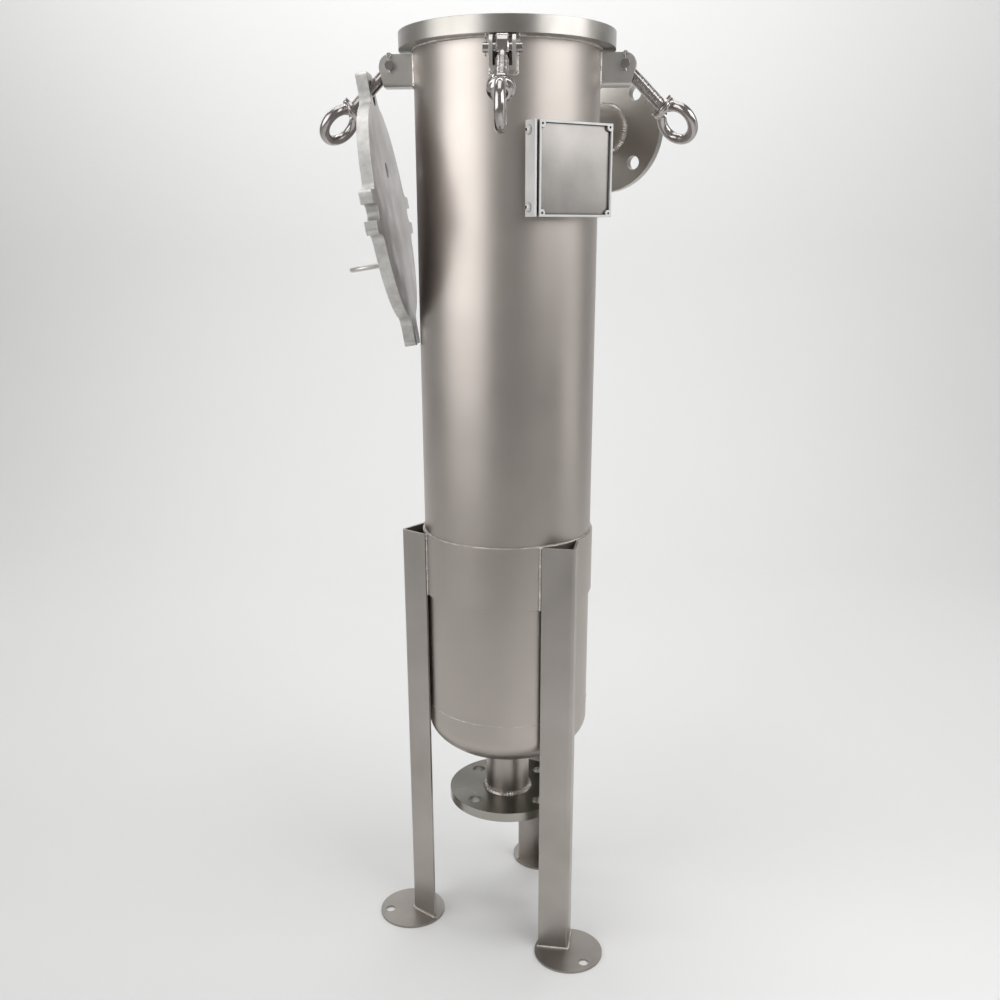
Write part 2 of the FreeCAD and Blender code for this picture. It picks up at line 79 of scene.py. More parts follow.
# %% [markdown]
# Most finished pieces come from a few small helpers. One makes an object of a mesh and lets it ride on its
# CAD body. One lays faces between rows of points, and one turns a profile round an axis, as a lathe does.
# One gives the place of a bolt: its own Z runs out along the bolt, and its own X along the pivot pin.

# %% Helpers for meshes


def vec(values):
    return Vector([float(v) for v in values])


def linked(name, data):
    """An object in the scene."""
    obj = bpy.data.objects.new(name, data)
    bpy.context.scene.collection.objects.link(obj)
    return obj


def piece(name, mesh, material, body):
    """An object of a finished mesh, or of several as one, riding on a CAD body."""
    if isinstance(mesh, list):
        mesh = joined(name, mesh)
    obj = linked(name, mesh)
    mesh.materials.clear()
    mesh.materials.append(material)
    mesh.shade_smooth()
    mesh.set_sharp_from_angle(angle=radians(42))
    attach(obj, body)
    return obj


def place(origin, z_axis, x_axis):
    """The matrix of a place with its own Z and X directions."""
    z = Vector(z_axis).normalized()
    x = (Vector(x_axis) - z * Vector(x_axis).dot(z)).normalized()
    y = z.cross(x)
    return Matrix.Translation(origin) @ Matrix((x, y, z)).transposed().to_4x4()


def toward(azimuth):
    """The level direction at an azimuth in degrees, which is 0 at the front and 90 at the right."""
    return Vector((sin(radians(azimuth)), -cos(radians(azimuth)), 0))


def turns(steps):
    return [2 * pi * n / steps for n in range(steps)]


def arc(half_turn, first, last):
    """The angles from one step to another, with so many steps to a half turn."""
    return [pi * n / half_turn for n in range(first, last + 1)]


def skin(bm, rows, round_rows=True, round_points=True):
    """Faces between rows of points. Rows, and the points of a row, may close on themselves."""
    for one, two in zip(rows, rows[1:] + rows[:1] if round_rows else rows[1:]):
        for k in range(len(one) if round_points else len(one) - 1):
            m = (k + 1) % len(one)
            bm.faces.new((one[k], two[k], two[m], one[m]))


def finished(bm, name, outward=True):
    """The mesh of a bmesh, with its faces turned outward."""
    if outward:
        bmesh.ops.recalc_face_normals(bm, faces=bm.faces)
    mesh = bpy.data.meshes.new(name)
    bm.to_mesh(mesh)
    bm.free()
    return mesh


def lathe(name, profile, steps=96, closed=True):
    """A profile of (radius, height) points turned once round Z."""
    bm = bmesh.new()
    rings = [[bm.verts.new((r * cos(a), r * sin(a), h)) for r, h in profile] for a in turns(steps)]
    skin(bm, rings, round_points=closed)
    bmesh.ops.remove_doubles(bm, verts=bm.verts, dist=1e-6)
    bmesh.ops.dissolve_degenerate(bm, edges=bm.edges, dist=1e-7)
    return finished(bm, name)


def reach_at(radius, sideways):
    """How far out a round surface stands at a distance to one side."""
    return sqrt(radius ** 2 - sideways ** 2)


def line_mesh(name, points, closed=False):
    """A path of vertices and edges, for a tree to follow."""
    mesh = bpy.data.meshes.new(name)
    edges = [(n, (n + 1) % len(points)) for n in range(len(points) if closed else len(points) - 1)]
    mesh.from_pydata([tuple(p) for p in points], edges, [])
    return mesh


def rod(name, points, radius, sides=5):
    """A round wire along smooth points, as a mesh."""
    curve = bpy.data.curves.new(name, "CURVE")
    curve.dimensions = "3D"
    curve.bevel_depth = radius
    curve.bevel_resolution = sides
    curve.use_fill_caps = True
    spline = curve.splines.new("POLY")
    spline.points.add(len(points) - 1)
    for point, at in zip(spline.points, points):
        point.co = (*at, 1)
    maker = bpy.data.objects.new(name, curve)
    mesh = bpy.data.meshes.new_from_object(maker)
    bpy.data.objects.remove(maker)
    return mesh


def joined(name, meshes):
    """Several meshes as one, each keeping its place."""
    bm = bmesh.new()
    for mesh in meshes:
        bm.from_mesh(mesh)
    return finished(bm, name, outward=False)


def moved(mesh, matrix):
    out = mesh.copy()
    out.transform(matrix)
    return out


def as_plain(obj):
    """What an object's modifiers leave, as a plain mesh in the object's place."""
    graph = bpy.context.evaluated_depsgraph_get()
    mesh = bpy.data.meshes.new_from_object(obj.evaluated_get(graph), depsgraph=graph)
    bpy.data.objects.remove(obj)
    return mesh


def shaped(mesh, steps):
    """A mesh as its modifiers leave it. Each step is a modifier's kind and its settings."""
    maker = linked("maker", mesh)
    cutters = []
    for kind, settings in steps:
        modifier = maker.modifiers.new(kind, kind)
        for label, value in settings.items():
            if label == "object":
                value = linked("cutter", value)
                cutters.append(value)
            setattr(modifier, label, value)
    out = as_plain(maker)
    for cutter in cutters:
        bpy.data.objects.remove(cutter)
    return out


def bolt_place(side, along=0.0):
    """A swing bolt's own place, or one further out along it."""
    swing = joints["swing_" + side]
    spin = joints["spin_" + side]
    out = -vec(spin["axis"])
    return place(vec(swing["pos_m"]) + out * along, out, -vec(swing["axis"]))


print("front bolt's pin is at", [round(v, 3) for v in bolt_place("front").translation])

# %% [markdown]
# A material here is a small network of nodes. Bead-blasted steel is dull and cloudy, a turned flange has
# fine rings, a drawn angle has long streaks, and a forged eye nut is polished but never quite flat. One
# helper makes what they share: a colour and a roughness that drift, and a relief. All of them read Object
# coordinates, so nothing slides when a piece moves.

# %% Helpers for materials


def add_node(tree, kind, inputs=None, **settings):
    """A node with its settings. Each input is a value, or a socket to link. Returns the outputs."""
    made = tree.nodes.new(kind)
    for label, value in settings.items():
        setattr(made, label, value)
    for label, value in (inputs or {}).items():
        if isinstance(value, bpy.types.NodeSocket):
            tree.links.new(value, made.inputs[label])
        else:
            made.inputs[label].default_value = value
    return made.outputs


class Shader:
    """A material whose nodes are added one at a time."""

    def __init__(self, name, **constants):
        self.material = bpy.data.materials.new(name)
        self.material.use_nodes = True
        self.tree = self.material.node_tree
        self.surface = self.tree.nodes["Principled BSDF"]
        for label, value in {"Metallic": 1.0, **constants}.items():
            self.surface.inputs[label.replace("_", " ")].default_value = value
        self.coordinates = self.node("ShaderNodeTexCoord")

    def node(self, kind, inputs=None, **settings):
        return add_node(self.tree, kind, inputs, **settings)

    def finish(self, **sockets):
        """Links what was made to the surface and hands out the material."""
        for label, socket in sockets.items():
            self.tree.links.new(socket, self.surface.inputs[label.replace("_", " ")])
        return self.material

    def spot(self, stretch=(1, 1, 1), shift=(0, 0, 0)):
        """Object coordinates, stretched and shifted."""
        inputs = {"Vector": self.coordinates["Object"], "Scale": stretch, "Location": shift}
        return self.node("ShaderNodeMapping", inputs)["Vector"]

    def noise(self, scale, stretch=(1, 1, 1), detail=4.0, shift=(0, 0, 0)):
        inputs = {"Vector": self.spot(stretch, shift), "Scale": scale, "Detail": detail}
        return self.node("ShaderNodeTexNoise", inputs)["Fac"]

    def span(self, source, low=0.0, high=1.0, start=0.3, end=0.7):
        """A factor spread over a range of values."""
        inputs = {"Value": source, "From Min": start, "From Max": end, "To Min": low, "To Max": high}
        return self.node("ShaderNodeMapRange", inputs)["Result"]

    def blend(self, factor, *colours):
        """A mix of two colours, each of them a tone or a socket."""
        first, second = [(*colour, 1) if isinstance(colour, tuple) else colour for colour in colours]
        return self.node("ShaderNodeMix", {0: factor, 6: first, 7: second}, data_type="RGBA")[2]

    def facing(self, direction):
        """1 where a face looks along a direction, either way, and 0 where it looks across it."""
        inputs = {0: self.coordinates["Normal"], 1: direction}
        along = self.node("ShaderNodeVectorMath", inputs, operation="DOT_PRODUCT")["Value"]
        return self.node("ShaderNodeMath", {0: along}, operation="ABSOLUTE")[0]

    def shade(self, colour, distance, start, end, dark):
        """A colour that darkens in corners and holes, where little light comes in."""
        light = self.node("ShaderNodeAmbientOcclusion", {"Distance": distance}, samples=8)["AO"]
        return self.blend(self.span(light, start=start, end=end), dark, colour)

    def rounded(self, radius):
        """Edges that look rounded."""
        return self.node("ShaderNodeBevel", {"Radius": radius}, samples=4)["Normal"]

    def relief(self, height, strength, depth, below=None):
        """A bump, on top of another one where there is one."""
        inputs = {"Height": height, "Strength": strength, "Distance": depth}
        if below:
            inputs["Normal"] = below
        return self.node("ShaderNodeBump", inputs)["Normal"]


def steel(name, dark, light, rough, cloud=7.0, grain=1500.0, grain_depth=0.00004, streak=None, rounding=0.0,
          metallic=1.0, painted_shade_distance=0.0):
    """A stainless finish: cloudy colour and roughness, a grain or streaks in relief, and painted shade in corners
    when a distance is given.
    """
    s = Shader(name, Metallic=metallic)
    colour = s.blend(s.span(s.noise(cloud, detail=5.0)), dark, light)
    # Painted shade: the colour darkens toward near black where other faces stand close.
    if painted_shade_distance:
        colour = s.shade(colour, painted_shade_distance, 0.3, 0.85, (0.05, 0.05, 0.048))
    worn = s.span(s.noise(cloud * 2.3, detail=6.0, shift=(3, 1, 7)), *rough)
    base = s.rounded(rounding) if rounding else None
    if streak:
        normal = s.relief(s.noise(1.0, stretch=streak, detail=3.0), 0.35, grain_depth, base)
    else:
        normal = s.relief(s.noise(grain, detail=2.0), 0.5, grain_depth, base)
    return s.finish(Base_Color=colour, Roughness=worn, Normal=normal)


print("helpers ready")

# %% [markdown]
# The vessel is bead-blasted: small shot leaves the surface matt, even and a little warm in tone. The legs
# are rolled stock, with faint streaks along their length, and the bent brackets are paler. Bolts, washers
# and eye nuts are polished. Each is the same helper with its own tones, roughness and relief.

# %% Steel finishes
blasted = steel("bead_blasted_steel", (0.46, 0.42, 0.39), (0.535, 0.49, 0.455), (0.36, 0.43), cloud=5.0)
rolled = steel("rolled_angle_steel", (0.385, 0.36, 0.33), (0.475, 0.445, 0.415), (0.34, 0.43), cloud=9.0,
               streak=(700, 700, 6), grain_depth=0.00005)
bent = steel("bent_bracket_steel", (0.53, 0.51, 0.48), (0.64, 0.62, 0.59), (0.28, 0.38), cloud=30.0,
             rounding=0.6 * MM, metallic=0.75)
foot_plate = steel("cut_foot_steel", (0.29, 0.27, 0.25), (0.36, 0.335, 0.31), (0.34, 0.43), cloud=14.0)
polished = steel("polished_fastener_steel", (0.38, 0.355, 0.345), (0.52, 0.49, 0.475), (0.10, 0.19), cloud=60.0,
                 grain=300.0, grain_depth=0.00006, rounding=0.5 * MM)
basket_steel = steel("basket_sheet_steel", (0.50, 0.49, 0.48), (0.60, 0.59, 0.58), (0.28, 0.36), cloud=12.0)
tack = steel("weld_bead_steel", (0.46, 0.42, 0.39), (0.64, 0.61, 0.58), (0.32, 0.45), cloud=90.0, grain=900.0,
             grain_depth=0.00008)

# %% [markdown]
# A turned face shows the tool's path as fine rings round its axis. A Wave texture of rings makes them, with
# its centre put on the axis by a Mapping node. The rim and the outlet flange turn about Z, and the inlet
# flange about its own pipe, so its coordinates are turned first. The outlet flange, under the tank, has
# dark painted shade on its level faces, while its round edge keeps the plain turned tone.

# %% Turned finish
ring_scale = 260.0


def turned_steel(name, centre, axis_turn, dark=(0.40, 0.38, 0.35), light=(0.52, 0.50, 0.47), unshaded_side_tone=None):
    s = Shader(name)
    inputs = {"Vector": s.coordinates["Object"], "Location": centre, "Rotation": (0, 0, axis_turn)}
    centred = s.node("ShaderNodeMapping", inputs, vector_type="TEXTURE")["Vector"]
    inputs = {"Vector": centred, "Scale": ring_scale, "Distortion": 0.6, "Detail": 2.0}
    direction = "Y" if axis_turn else "Z"
    wave = s.node("ShaderNodeTexWave", inputs, wave_type="RINGS", rings_direction=direction)["Fac"]
    colour = s.blend(s.span(s.noise(14.0, detail=5.0)), dark, light)
    # Painted shade: faces that look along Z take the given dark tones, and faces round the side take the unshaded
    # tone.
    if unshaded_side_tone:
        colour = s.blend(s.span(s.facing(Z), start=0.4, end=0.9), unshaded_side_tone, colour)
    worn = s.span(s.noise(25.0, shift=(5, 2, 1)), 0.27, 0.38)
    grain = s.relief(s.noise(1200.0), 0.3, 0.00004, s.rounded(0.7 * MM))
    return s.finish(Base_Color=colour, Roughness=worn, Normal=s.relief(wave, 0.25, 0.00003, grain))


inlet = next(mount for mount in frame["record"]["mounts"] if mount["name"] == "inlet_bolts")
inlet_axis, inlet_face = vec(inlet["axis"]), vec(inlet["pos_m"])
inlet_turn = atan2(inlet_axis.y, inlet_axis.x) - pi / 2
turned = turned_steel("turned_steel", (0, 0, 0), 0, light=(0.56, 0.54, 0.51))
# Painted shade: the outlet flange's level faces are toned dark, as the tank's shadow.
outlet_turned_painted_shade = turned_steel("outlet_turned_steel_painted_shade", (0, 0, 0), 0, (0.17, 0.165, 0.145), (0.22, 0.215, 0.19),
                             unshaded_side_tone=(0.40, 0.39, 0.35))
turned_inlet = turned_steel("turned_inlet_steel", inlet_face, inlet_turn)
print("inlet turned by", round(degrees(inlet_turn), 1), "degrees")

# %% [markdown]
# The lid is cut from plate. Its flat faces keep the mill's grey and its rolling marks, while the cut edge is
# brighter and carries the cutter's fine upright ridges. The object's own normal tells the two apart: on a
# flat face it runs along the lid's axis, and on the edge across it. Where other faces stand close, the colour
# is painted darker as shade.

# %% Lid plate
lid_lean = radians(9.0)
lid_out = Vector((-cos(lid_lean), 0, -sin(lid_lean)))
lid_down = Vector((sin(lid_lean), 0, -cos(lid_lean)))


def cut_plate():
    s = Shader("cut_plate_steel")
    on_face = s.span(s.facing(lid_out), start=0.75, end=0.95)
    rolling = s.noise(1.0, stretch=(14, 420, 14))
    face = s.blend(s.span(s.noise(9.0, detail=6.0)), (0.39, 0.36, 0.35), (0.50, 0.47, 0.46))
    face = s.blend(s.span(rolling, 0.0, 0.35, 0.35, 0.75), face, (0.34, 0.315, 0.305))
    edge = s.blend(s.span(s.noise(120.0)), (0.56, 0.55, 0.53), (0.70, 0.69, 0.67))
    # Painted shade: the colour darkens toward near black within 14 mm of other faces.
    colour = s.shade(s.blend(on_face, edge, face), 14 * MM, 0.25, 0.7, (0.06, 0.055, 0.05))
    worn = s.span(s.noise(28.0, detail=5.0, shift=(4, 1, 2)), 0.28, 0.42)
    rough = s.node("ShaderNodeMix", {0: on_face, 2: 0.45, 3: worn})[0]
    grain = s.relief(s.noise(1100.0, detail=2.0), 0.4, 0.00004, s.rounded(1.0 * MM))
    ridges = s.noise(1.0, stretch=(60, 900, 900), detail=2.0)
    normal = s.relief(ridges, 0.25, 0.0001, s.relief(rolling, 0.2, 0.00003, grain))
    return s.finish(Base_Color=colour, Roughness=rough, Normal=normal)


lid_finish = cut_plate()

# %% [markdown]
# The plate holder is a cast frame on a bent angle, both paler and duller than the steel, because their
# light coating scatters what falls on it. The bare plate in it is brushed across its width. Frame, angle
# and plate are painted darker in their corners and round the plate's pocket, as shade. The seal is
# black rubber with a faint bloom.

# %% Frame, plate and rubber
# Painted shade: frame and plate darken near other faces, in corners and round the pocket.
cast_frame = steel("coated_frame", (0.63, 0.63, 0.62), (0.72, 0.72, 0.71), (0.38, 0.48), cloud=40.0,
                   grain=1800.0, grain_depth=0.00008, rounding=0.6 * MM, metallic=0.3, painted_shade_distance=6 * MM)
plate_finish = steel("brushed_plate", (0.27, 0.255, 0.24), (0.45, 0.43, 0.41), (0.27, 0.33), cloud=11.0,
                     streak=(4, 4, 260), grain_depth=0.00001, painted_shade_distance=5 * MM)


def dull(name, spots, dark, light, worn, rough, reliefs, **constants):
    """A finish that isn't metal. Its textures are the settings of one noise each."""
    s = Shader(name, Metallic=0.0, **constants)
    normal = None
    for texture, strength, depth in reliefs:
        normal = s.relief(s.noise(**texture), strength, depth, normal)
    colour = s.blend(s.span(s.noise(**spots)), dark, light)
    return s.finish(Base_Color=colour, Roughness=s.span(s.noise(**worn), *rough), Normal=normal)


seal_rubber = dull("seal_rubber", {"scale": 80.0}, (0.012, 0.012, 0.012), (0.03, 0.03, 0.031),
                   {"scale": 40.0, "shift": (1, 0, 0)}, (0.5, 0.7), [({"scale": 1500.0}, 0.4, 0.00005)])
tufts = {"scale": 420.0, "detail": 6.0}
fibres = {"scale": 1.0, "stretch": (2600, 2600, 900)}
bag_felt = dull("needled_felt", tufts, (0.61, 0.59, 0.54), (0.71, 0.69, 0.64),
                {"scale": 90.0, "shift": (2, 4, 1)}, (0.85, 1.0), [(tufts, 0.5, 0.0006), (fibres, 0.7, 0.0003)],
                Sheen_Weight=0.4, Specular_IOR_Level=0.2)
twist = {"scale": 1.0, "stretch": (3000, 3000, 1200)}
thread_cotton = dull("stitch_thread", {"scale": 900.0}, (0.74, 0.73, 0.70), (0.90, 0.89, 0.86),
                     {"scale": 500.0}, (0.6, 0.8), [(twist, 0.6, 0.0002)], Sheen_Weight=0.2)

# %% [markdown]
# A CAD node keeps its mesh and gets its finish by changing the material in its slot. One table says which
# finish goes on which nodes.

# %% Finish the CAD nodes
finishes = {
    blasted: ["shell_tube", "bottom_head", "doubler_band", "inlet_stub", "outlet_stub", "basket_seat"],
    turned: ["rim_ring"],
    outlet_turned_painted_shade: ["outlet_flange"],
    turned_inlet: ["inlet_flange"],
    rolled: ["leg_right", "leg_back", "leg_left"],
    foot_plate: ["feet"],
    bent: ["brackets", "lid_handle", "bag_ring"],
    polished: ["pivot_pins", "side_screws"],
    lid_finish: ["lid_plate"],
    cast_frame: ["plate_frame", "plate_bracket"],
    plate_finish: ["blank_plate"],
    seal_rubber: ["lid_seal"],
    basket_steel: ["basket_rim", "basket_sole", "basket_bail", "basket_tube"],
}
for side in SIDES:
    finishes[polished] += ["swing_bolt_" + side, "washer_" + side, "eye_nut_" + side]
for material, names in finishes.items():
    for name in names:
        for slot in nodes[name].material_slots:
            slot.material = material
print("finished nodes:", sum(len(names) for names in finishes.values()))

# %% [markdown]
# Geometry Nodes make whatever repeats. A tree is built once with named inputs, then run on a small source
# mesh. The result is read back as a plain mesh, so that no modifier is left on the piece.

# %% Helpers for trees


def new_tree(name, **inputs):
    """An empty tree, and the sockets of its named inputs."""
    tree = bpy.data.node_groups.new(name, "GeometryNodeTree")
    for label, kind in {"Geometry": "Geometry", **inputs, "Material": "Material"}.items():
        tree.interface.new_socket(label.replace("_", " "), in_out="INPUT", socket_type="NodeSocket" + kind)
    tree.interface.new_socket("Geometry", in_out="OUTPUT", socket_type="NodeSocketGeometry")
    return tree, tree.nodes.new("NodeGroupInput").outputs


def maths(tree, operation, first, second=0.0):
    """One sum on numbers or fields."""
    return add_node(tree, "ShaderNodeMath", {0: first, 1: second}, operation=operation)[0]


def along_path(tree, path, pitch, radius, half_length, sides, rings):
    """A stretched ball at every pitch along a path, turned to lie along it."""
    inputs = {"Curve": path, "Length": pitch}
    spots = add_node(tree, "GeometryNodeResampleCurve", inputs, mode="LENGTH")["Curve"]
    way = add_node(tree, "GeometryNodeInputTangent")["Tangent"]
    lay = add_node(tree, "FunctionNodeAlignRotationToVector", {"Vector": way}, axis="Z")["Rotation"]
    ball = add_node(tree, "GeometryNodeMeshUVSphere", {"Segments": sides, "Rings": rings})["Mesh"]
    size = add_node(tree, "ShaderNodeCombineXYZ", {"X": radius, "Y": radius, "Z": half_length})["Vector"]
    inputs = {"Points": spots, "Instance": ball, "Rotation": lay, "Scale": size}
    return add_node(tree, "GeometryNodeInstanceOnPoints", inputs)["Instances"]


def bar_along(tree, path, radius, sides):
    """A bar of a few sides along a path."""
    inputs = {"Resolution": sides, "Radius": radius}
    outline = add_node(tree, "GeometryNodeCurvePrimitiveCircle", inputs)["Curve"]
    inputs = {"Curve": path, "Profile Curve": outline, "Fill Caps": True}
    return add_node(tree, "GeometryNodeCurveToMesh", inputs)["Mesh"]


def end_tree(tree, given, geometry):
    """Realizes what the tree made, gives it its material and hands it out."""
    real = add_node(tree, "GeometryNodeRealizeInstances", {"Geometry": geometry})["Geometry"]
    inputs = {"Geometry": real, "Material": given["Material"]}
    made = add_node(tree, "GeometryNodeSetMaterial", inputs)["Geometry"]
    tree.links.new(made, tree.nodes.new("NodeGroupOutput").inputs["Geometry"])


def grown(name, source, tree, values):
    """Runs a tree on a source mesh and returns the plain mesh that it makes."""
    maker = linked(name + "_maker", source)
    modifier = maker.modifiers.new("tree", "NODES")
    modifier.node_group = tree
    keys = {item.name: item.identifier for item in tree.interface.items_tree if item.in_out == "INPUT"}
    for label, value in values.items():
        modifier[keys[label]] = value
    mesh = as_plain(maker)
    mesh.name = name
    return mesh


print("tree helpers ready")

# %% [markdown]
# A weld bead is a row of overlapping ripples, one for each dip of the filler wire. The tree follows a seam,
# sets a squashed ball at every pitch along it, and runs a plain round bead underneath so that no gap shows
# between two ripples. The size of each ripple varies a little, from a fixed seed. Its inputs are the bead's
# radius, the pitch and the seed.

# %% Weld bead tree
welds, given = new_tree("weld_bead", Bead_Radius="Float", Pitch="Float", Seed="Int")
seam = add_node(welds, "GeometryNodeMeshToCurve", {"Mesh": given["Geometry"]})["Curve"]
inputs = {2: 0.84, 3: 1.16, "Seed": given["Seed"]}
vary = add_node(welds, "FunctionNodeRandomValue", inputs, data_type="FLOAT")[1]
ripple = maths(welds, "MULTIPLY", vary, given["Bead Radius"])
half_ripple = maths(welds, "MULTIPLY", given["Pitch"], 0.95)
ripples = along_path(welds, seam, given["Pitch"], ripple, half_ripple, 8, 6)
core = bar_along(welds, seam, maths(welds, "MULTIPLY", given["Bead Radius"], 0.86), 8)
both = welds.nodes.new("GeometryNodeJoinGeometry")
for geometry in (ripples, core):
    welds.links.new(geometry, both.inputs[0])
end_tree(welds, given, both.outputs[0])
print("weld bead tree has", len(welds.nodes), "nodes")

# %% [markdown]
# The seams themselves are short lists of points worked out from the frame. Rings run round the vessel's
# axis or round a pipe, and the inlet's seam is a saddle where the pipe meets the shell.

# %% Seams of the vessel
weld_pitch = 2.4 * MM


def circle(centre, axis, across, radius, steps=120):
    spot = place(centre, axis, across)
    return [spot @ Vector((radius * cos(a), radius * sin(a), 0)) for a in turns(steps)]


def bead(name, points, radius, closed=True, seed=1, pitch=weld_pitch):
    values = {"Bead Radius": radius, "Pitch": pitch, "Seed": seed, "Material": tack}
    return grown(name, line_mesh(name + "_seam", points, closed), welds, values)


head_depth, head_skirt = 55 * MM, 25 * MM
head_tangent = head_top - head_skirt


def head_at_pipe(radius, depth):
    """The level at which an elliptical head meets the outlet pipe."""
    return head_tangent - depth * reach_at(1, pipe_radius / radius)


level_seams = [
    ("rim_weld", rim_low[2], shell_radius, 2.2 * MM, weld_pitch),
    ("head_weld", head_top, shell_radius - 1.0 * MM, 1.4 * MM, 1.8 * MM),
    ("outlet_head_weld", head_at_pipe(shell_radius, head_depth), pipe_radius, 3.2 * MM, weld_pitch),
    ("outlet_flange_weld", outlet_top, pipe_radius, 5.0 * MM, 4.2 * MM),
    ("band_top_weld", band_high[2], shell_radius + 0.4 * MM, 1.4 * MM, weld_pitch),
    ("band_low_weld", band_low[2], shell_radius + 0.4 * MM, 1.2 * MM, weld_pitch),
]
beads = [bead(name, circle(Z * height, Z, X, radius), size, pitch=pitch)
         for name, height, radius, size, pitch in level_seams]
flange_thick = 13 * MM
flange_back = inlet_face - inlet_axis * flange_thick
beads.append(bead("inlet_flange_weld", circle(flange_back, inlet_axis, Z, pipe_radius), 5.0 * MM))
side_way = Z.cross(inlet_axis)
saddle = []
for a in turns(90):
    sideways = pipe_radius * cos(a)
    saddle.append(inlet_axis * reach_at(shell_radius, sideways) + side_way * sideways
                  + Z * (inlet_face.z + pipe_radius * sin(a)))
beads.append(bead("inlet_shell_weld", saddle, 3.4 * MM))
vessel_welds = piece("vessel_welds", beads, tack, "vessel")
print("vessel weld faces:", len(vessel_welds.data.polygons))

# %% [markdown]
# Each leg is an angle whose two edges stand on the doubler band, and each is welded to its foot along the
# outside of the angle. A bracket is welded to the shell down both sides and underneath.

# %% Welds of the legs, feet and brackets
leg_azimuths = (38.5, 158.5, 278.5)
leg_half = 42 * MM / sqrt(2)
edge_inset, inner_inset = 1.2 * MM, 2.1 * MM
foot_top = 3 * MM
bracket_half, bracket_up, bracket_down, under_bracket = 14.25 * MM, 12 * MM, 21 * MM, 22.6 * MM
beads = []
for n, azimuth in enumerate(leg_azimuths):
    out_way = toward(azimuth)
    across_way = Z.cross(out_way)
    for hand in (-1, 1):
        edge = out_way * reach_at(band_radius, leg_half - edge_inset) + across_way * hand * leg_half
        ends = [edge + Z * (band_low[2] + 1 * MM), edge + Z * (band_high[2] - 1 * MM)]
        beads.append(bead("leg_weld", ends, 1.9 * MM, closed=False, seed=n + 3))
    corner_reach = reach_at(band_radius, leg_half - inner_inset) + leg_half + inner_inset
    corner = out_way * corner_reach + Z * foot_top
    tips = [corner - out_way * leg_half + across_way * hand * leg_half for hand in (-1, 1)]
    beads.append(bead("foot_weld", [tips[0], corner, tips[1]], 2.6 * MM, closed=False, seed=n + 11))
for side in SIDES:
    spot = bolt_place(side)
    pin = spot.translation
    away = Vector((pin.x, pin.y, 0)).normalized()
    across_way = spot.col[0].to_3d()
    for hand in (-1, 1):
        sideways = hand * (bracket_half + 0.6 * MM)
        foot_at = away * reach_at(shell_radius, sideways) + across_way * sideways
        ends = [foot_at + Z * (pin.z - bracket_down), foot_at + Z * (pin.z + bracket_up)]
        beads.append(bead("bracket_weld", ends, 1.7 * MM, closed=False, seed=21))
    under = [away * reach_at(shell_radius, x * MM) + across_way * x * MM + Z * (pin.z - under_bracket)
             for x in (-13, -7, 0, 7, 13)]
    beads.append(bead("bracket_under_weld", under, 1.7 * MM, closed=False, seed=22))
fixed_welds = piece("bracket_and_leg_welds", beads, tack, "vessel")
print("bracket and leg weld faces:", len(fixed_welds.data.polygons))

# %% [markdown]
# The swing bolts are threaded. A helix is a Spiral curve with a small profile run along it. The tree's
# inputs are the bolt's radius, the thread's length, its turns and its crest, and one thread serves all four
# bolts.

# %% Thread tree
tree, given = new_tree("bolt_thread", Bolt_Radius="Float", Length="Float", Turns="Float", Crest="Float")
inputs = {"Resolution": 22, "Rotations": given["Turns"], "Start Radius": given["Bolt Radius"],
          "End Radius": given["Bolt Radius"], "Height": given["Length"]}
helix = add_node(tree, "GeometryNodeCurveSpiral", inputs)["Curve"]
end_tree(tree, given, bar_along(tree, helix, given["Crest"], 4))

thread_start, thread_length, thread_pitch = 20 * MM, 51 * MM, 2 * MM
thread = grown("thread", line_mesh("thread_source", [(0, 0, 0)]), tree, {
    "Bolt Radius": 6.75 * MM, "Length": thread_length, "Turns": thread_length / thread_pitch,
    "Crest": 0.62 * MM, "Material": polished})
for side in SIDES:
    piece("thread_" + side, moved(thread, bolt_place(side, thread_start)), polished, "bolt_" + side)
print("thread faces:", len(thread.polygons))

# %% [markdown]
# An eye nut is one forging: a round ring that runs down into a collar without a corner. Its parts are
# joined here by a voxel remesh, which melts two overlapping solids into one skin, and a smoothing pass
# then draws the fillet between them, as the die does. A cylinder taken out last leaves the hole.

# %% Eye nuts
ring_radius, ring_bar, ring_height = 21 * MM, 6 * MM, 26 * MM
collar_radius, collar_waist, collar_height = 15 * MM, 10 * MM, 4 * MM
nut_bore = 7.4 * MM
ring_turns = dict(zip(SIDES, (0.0, 52.0, 20.0, -62.0)))


def eye_nut_mesh():
    bm = bmesh.new()
    rings = []
    for a in turns(72):
        far = [(ring_bar * sin(b), ring_radius + ring_bar * cos(b)) for b in turns(24)]
        rings.append([bm.verts.new((x, r * sin(a), ring_height + r * cos(a))) for x, r in far])
    skin(bm, rings)
    ring_mesh = finished(bm, "ring")
    top = ring_height - ring_radius + ring_bar * 0.6
    profile = [(0, 0), (collar_radius - 0.8 * MM, 0), (collar_radius, 0.8 * MM),
               (collar_radius, collar_height), (collar_waist + 2.0 * MM, collar_height + 2.2 * MM),
               (collar_waist, top), (0, top)]
    body = joined("eye_nut_body", [ring_mesh, lathe("collar", profile, 64)])
    drill = lathe("drill", [(0, -5 * MM), (nut_bore, -5 * MM), (nut_bore, ring_height), (0, ring_height)], 48)
    return shaped(body, [("REMESH", {"mode": "VOXEL", "voxel_size": 0.75 * MM}),
                         ("SMOOTH", {"factor": 0.5, "iterations": 6}),
                         ("BOOLEAN", {"object": drill, "operation": "DIFFERENCE"})])


nut_mesh = eye_nut_mesh()
for side in SIDES:
    seat = joints["spin_" + side]["pos_m"]
    at = bolt_place(side)
    at.translation = vec(seat)
    turn = Matrix.Rotation(radians(ring_turns[side]), 4, "Z")
    nut = piece("forged_eye_nut_" + side, moved(nut_mesh, at @ turn), polished, "nut_" + side)
    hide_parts("eye_nut_" + side)
print("eye nut faces:", len(nut_mesh.polygons))

